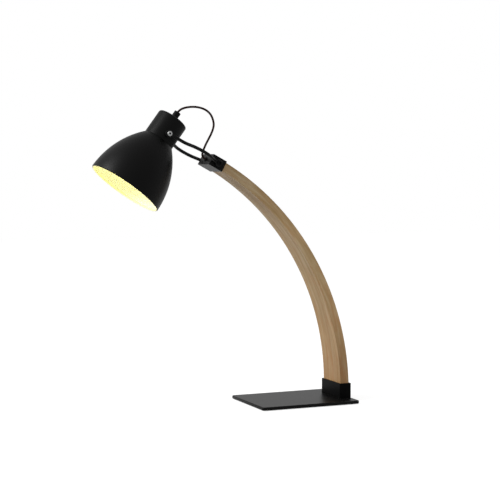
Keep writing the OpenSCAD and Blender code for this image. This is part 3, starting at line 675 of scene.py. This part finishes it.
dress(["foot_socket"], sleeve_coat, edge=0.5)
dress(["arm_cap"], plate_coat, edge=0.5)
dress(["arm"], oak, edge=1.5)
dress(["cup"], black_lacquer, edge=0.4)
dress(["base_screws", "arm_screws", "cap_screws", "bow_pivot_screws"], black_oxide)
dress(["head_pivot_screws"], zinc_screw())
dress(["head_washers", "head_nuts", "bow_washers", "nipple", "nipple_nut"], zinc)
dress(["lead_grommet", "cap_grommet"], rubber)
dress(["cord_grip", "holder_cap", "holder_body", "shade_ring"], phenolic)
dress(["grip_screw"], nylon)
dress(["holder_contact"], brass)
dress(["bulb_base"], nickel)
dress(["arm_wire", "head_wire"], viscose)


def steel_plate():
    """The base plate with its edges ground round before the coat."""
    size = plate_high - plate_low
    rings = slab(size.x, size.y, PLATE_CORNER, plate_low.z, plate_high.z, PLATE_EDGE)
    piece("steel_plate", rings, [plate_coat], "stand", "base_plate")


def foam_pad():
    """The foam sheet under the base, with soft edges."""
    size = pad_high - pad_low
    rings = slab(size.x, size.y, PLATE_CORNER, pad_low.z, pad_high.z, PAD_EDGE)
    made = piece("foam_pad", rings, [foam], "stand", "base_pad")


def bell_shade():
    """The spun bell: black outside, white inside, with a rolled bead along its rim and a flat neck.

    The bead turns inwards and is left bare on its inner half.
    """
    rim_r = SHADE_D / 2
    neck_r = CUP_D / 2
    arc_r = (SHADE_H ** 2 + (rim_r - neck_r) ** 2) / (2 * (rim_r - neck_r))
    middle = (rim_r - arc_r, rim_z)
    neck_angle = math.degrees(math.asin((SHADE_H - NECK_ROUND) / arc_r))
    inner_r = arc_r - SHADE_WALL
    inner_angle = math.degrees(math.asin((SHADE_H - SHADE_WALL) / inner_r))
    bead = (rim_r - RIM_BEAD_R, rim_z + RIM_BEAD_R)
    bead_angle = math.degrees(math.asin(RIM_BEAD_R / arc_r))
    hole_r = SHADE_HOLE_D / 2
    shoulder = arc((neck_r - NECK_ROUND, neck_z - NECK_ROUND), NECK_ROUND, 90, 10, NECK_STEPS)
    outside = shoulder + arc(middle, arc_r, neck_angle, bead_angle, SHADE_STEPS)
    bead_line = arc(bead, RIM_BEAD_R, 0, -BEAD_TURN, BEAD_STEPS)
    inside = arc(middle, inner_r, 2 * bead_angle, inner_angle, SHADE_STEPS)
    neck = [(hole_r, neck_z - SHADE_WALL), (hole_r, neck_z)]
    bare_from = len(outside) + round(BEAD_STEPS * BARE_FROM / BEAD_TURN)
    piece("bell_shade", turned(outside + bead_line + inside + neck, SHADE_SIDES),
          [black_lacquer, bare_aluminium, inside_lacquer], "head", "shade", at=at_head,
          closed=True, changes=(bare_from, len(outside + bead_line) - 1))


def bow_line():
    """The middle line of a rod between its eyes: lines and bends in the XY plane of the bow."""
    rise_at_cap = BOW_BULGE + cup_eye_y - cap_eye_y
    bend = math.radians(BOW_BEND)
    cap_line = (rise_at_cap - (BOW_HEEL_R + BOW_CROWN_R) * (1 - math.cos(bend))) / math.sin(bend)
    cup_line = (BOW_BULGE - (BOW_CROWN_R + BOW_NECK_R) * (1 - math.cos(bend))) / math.sin(bend)
    line = [Vector((EYE_D / 2, cap_eye_y, 0))]
    heading = 0
    bends = [(0, bend, BOW_HEEL_R), (cap_line, -2 * bend, BOW_CROWN_R), (cup_line, bend, BOW_NECK_R)]
    for run, turn, r in bends:
        start = line[-1] + run * Vector((math.cos(heading), math.sin(heading), 0))
        hand = math.copysign(1, turn)
        for k in range(BEND_RINGS + 1):
            a = heading + turn * k / BEND_RINGS
            line.append(start + hand * r * Vector((math.sin(a) - math.sin(heading),
                                                   math.cos(heading) - math.cos(a), 0)))
        heading += turn
    return line[1:] + [Vector((BOW_LENGTH - EYE_D / 2, cup_eye_y, 0))]


def smooth_step(value, low, high):
    """Rises smoothly from 0 at low to 1 at high."""
    t = min(1, max(0, (value - low) / (high - low)))
    return t * t * (3 - 2 * t)


def rod_section(distance):
    """Half thickness, half height and squareness of a rod at a distance from its nearest eye's middle."""
    eye_r = EYE_D / 2
    inside = math.sqrt(max(0, eye_r ** 2 - distance ** 2))
    drawn = smooth_step(distance, 0.5 * eye_r, 2 * eye_r)
    half_height = inside if distance < 0 else (inside ** 4 + (ROD_D / 2) ** 4) ** 0.25
    half_thick = EYE_T / 2 + (ROD_D - EYE_T) / 2 * drawn
    return half_thick, half_height, EYE_SQUARENESS + (ROD_SQUARENESS - EYE_SQUARENESS) * drawn


def bow_rod(name, node, side):
    """A round bar of the bow, bent outwards, with its ends forged into flat eyes."""
    eye_r = EYE_D / 2
    eye_steps = [-eye_r * math.cos(math.pi * k / EYE_RINGS) for k in range(1, EYE_RINGS)]
    line = [Vector((d, cap_eye_y, 0)) for d in eye_steps] + bow_line()
    line += [Vector((BOW_LENGTH - d, cup_eye_y, 0)) for d in reversed(eye_steps)]
    from_cap = [line[0].x]
    for a, b in zip(line, line[1:]):
        from_cap.append(from_cap[-1] + (b - a).length)
    total = from_cap[-1] + line[0].x
    up = Vector((0, 0, 1))
    rings = []
    for i, point in enumerate(line):
        way = (line[min(i + 1, len(line) - 1)] - line[max(i - 1, 0)]).normalized()
        out = up.cross(way)
        half_thick, half_height, square = rod_section(min(from_cap[i], total - from_cap[i]))
        ring = []
        for k in range(ROD_SIDES):
            a = TURN * k / ROD_SIDES
            across, along = math.cos(a), math.sin(a)
            swell = (abs(across) ** square + abs(along) ** square) ** (-1 / square)
            spot = point + swell * (half_thick * across * out + half_height * along * up)
            ring.append((spot.x, side * spot.y, spot.z))
        rings.append(ring)
    piece(name, rings, [rod_coat], "bow", node, at=at_bow)


def lit_bulb():
    """The bulb's opal globe: a ball that flows into a straight neck."""
    ball_r = BULB_D / 2
    ball_z = neck_z - BULB_DROP - BULB_LENGTH + ball_r
    neck_r = BULB_NECK_D / 2
    top = neck_z - BULB_DROP - BULB_SCREW_H
    reach = ball_r + BULB_FLARE_R
    flare = (neck_r + BULB_FLARE_R, ball_z + math.sqrt(reach ** 2 - (neck_r + BULB_FLARE_R) ** 2))
    touch = math.degrees(math.atan2(flare[1] - ball_z, flare[0]))
    profile = [(neck_r, top)] + arc(flare, BULB_FLARE_R, 180, 180 + touch, FLARE_STEPS)
    profile += arc((0, ball_z), ball_r, touch, -89, BULB_STEPS)[1:]
    bulb = piece("lit_bulb", turned(profile, BULB_SIDES), [opal], "head", "bulb_globe",
                 at=at_head)
    bulb.visible_shadow = False
    lamp = bpy.data.lights.new("bulb_light", "POINT")
    lamp.energy = BULB_POWER
    lamp.color = linear(BULB_LIGHT)[:3]
    lamp.shadow_soft_size = FILAMENT_SHARE * ball_r * MM
    light = bpy.data.objects.new("bulb_light", lamp)
    light.parent = bulb
    light.location = Vector((0, 0, ball_z)) * MM
    bpy.context.scene.collection.objects.link(light)


steel_plate()
foam_pad()
bell_shade()
bow_rod("front_rod", "bow_rod_front", -1)
bow_rod("rear_rod", "bow_rod_rear", 1)
lit_bulb()


# Studio: a pale floor, a soft key and a small light on the head from the upper left, an even white surround
FLOOR_SIZE = 12000
FLOOR_TONE = "#9a9a9a"
FLOOR_GLOW = 0.77
SURROUND = 0.78


def seen_directly(tree):
    """1 for rays of the camera, of a gloss or through glass, and 0 for rays that light a surface."""
    path = add(tree, "ShaderNodeLightPath", {})
    gloss = add(tree, "ShaderNodeMath", {0: path.outputs["Is Camera Ray"], 1: path.outputs["Is Glossy Ray"]},
                operation="ADD")
    return add(tree, "ShaderNodeMath", {0: gloss.outputs["Value"], 1: path.outputs["Is Transmission Ray"]},
               operation="ADD", use_clamp=True).outputs["Value"]


def studio_floor():
    """A large sheet of matt paper, white to the camera, that keeps the lamp's shadow."""
    half = FLOOR_SIZE * MM / 2
    mesh = bpy.data.meshes.new("paper_floor")
    corners = [(-half, -half, 0), (half, -half, 0), (half, half, 0), (-half, half, 0)]
    mesh.from_pydata(corners, [], [(0, 1, 2, 3)])
    paper = bpy.data.materials.new("matt_white_paper")
    paper.use_nodes = True
    tree = paper.node_tree
    tree.nodes.remove(tree.nodes["Principled BSDF"])
    matt = add(tree, "ShaderNodeBsdfDiffuse", {"Color": linear(FLOOR_TONE)})
    glow = add(tree, "ShaderNodeMath", {0: seen_directly(tree), 1: FLOOR_GLOW}, operation="MULTIPLY")
    lit = add(tree, "ShaderNodeEmission", {"Color": linear("#ffffff"), "Strength": glow.outputs["Value"]})
    both = add(tree, "ShaderNodeAddShader", {0: matt.outputs["BSDF"], 1: lit.outputs["Emission"]})
    tree.links.new(both.outputs["Shader"], tree.nodes["Material Output"].inputs["Surface"])
    mesh.materials.append(paper)
    floor = bpy.data.objects.new("paper_floor", mesh)
    bpy.context.scene.collection.objects.link(floor)


def studio_surround():
    """An even white surround: white to the camera, and dimmer as a light."""
    world = bpy.data.worlds.new("white_surround")
    world.use_nodes = True
    bpy.context.scene.world = world
    tree = world.node_tree
    strength = add(tree, "ShaderNodeMapRange", {"Value": seen_directly(tree), "To Min": SURROUND,
                                                "To Max": 1})
    tree.links.new(strength.outputs["Result"], tree.nodes["Background"].inputs["Strength"])
    tree.nodes["Background"].inputs["Color"].default_value = linear("#ffffff")


def soft_light(name, place, target, size, power):
    """A square soft box at a place, aimed at a target, in millimetres and watts."""
    lamp = bpy.data.lights.new(name, "AREA")
    lamp.size = size * MM
    lamp.energy = power
    box = bpy.data.objects.new(name, lamp)
    box.location = Vector(place) * MM
    box.rotation_euler = (Vector(target) - Vector(place)).to_track_quat("-Z", "Y").to_euler()
    bpy.context.scene.collection.objects.link(box)


studio_floor()
studio_surround()
soft_light("key_light", place=(-2400, 100, 1800), target=(-100, 0, 350), size=1200, power=42)
soft_light("head_light", place=(-1080, 40, 1020), target=(-350, 0, 500), size=300, power=8.5)
bpy.context.scene.view_settings.view_transform = "Standard"
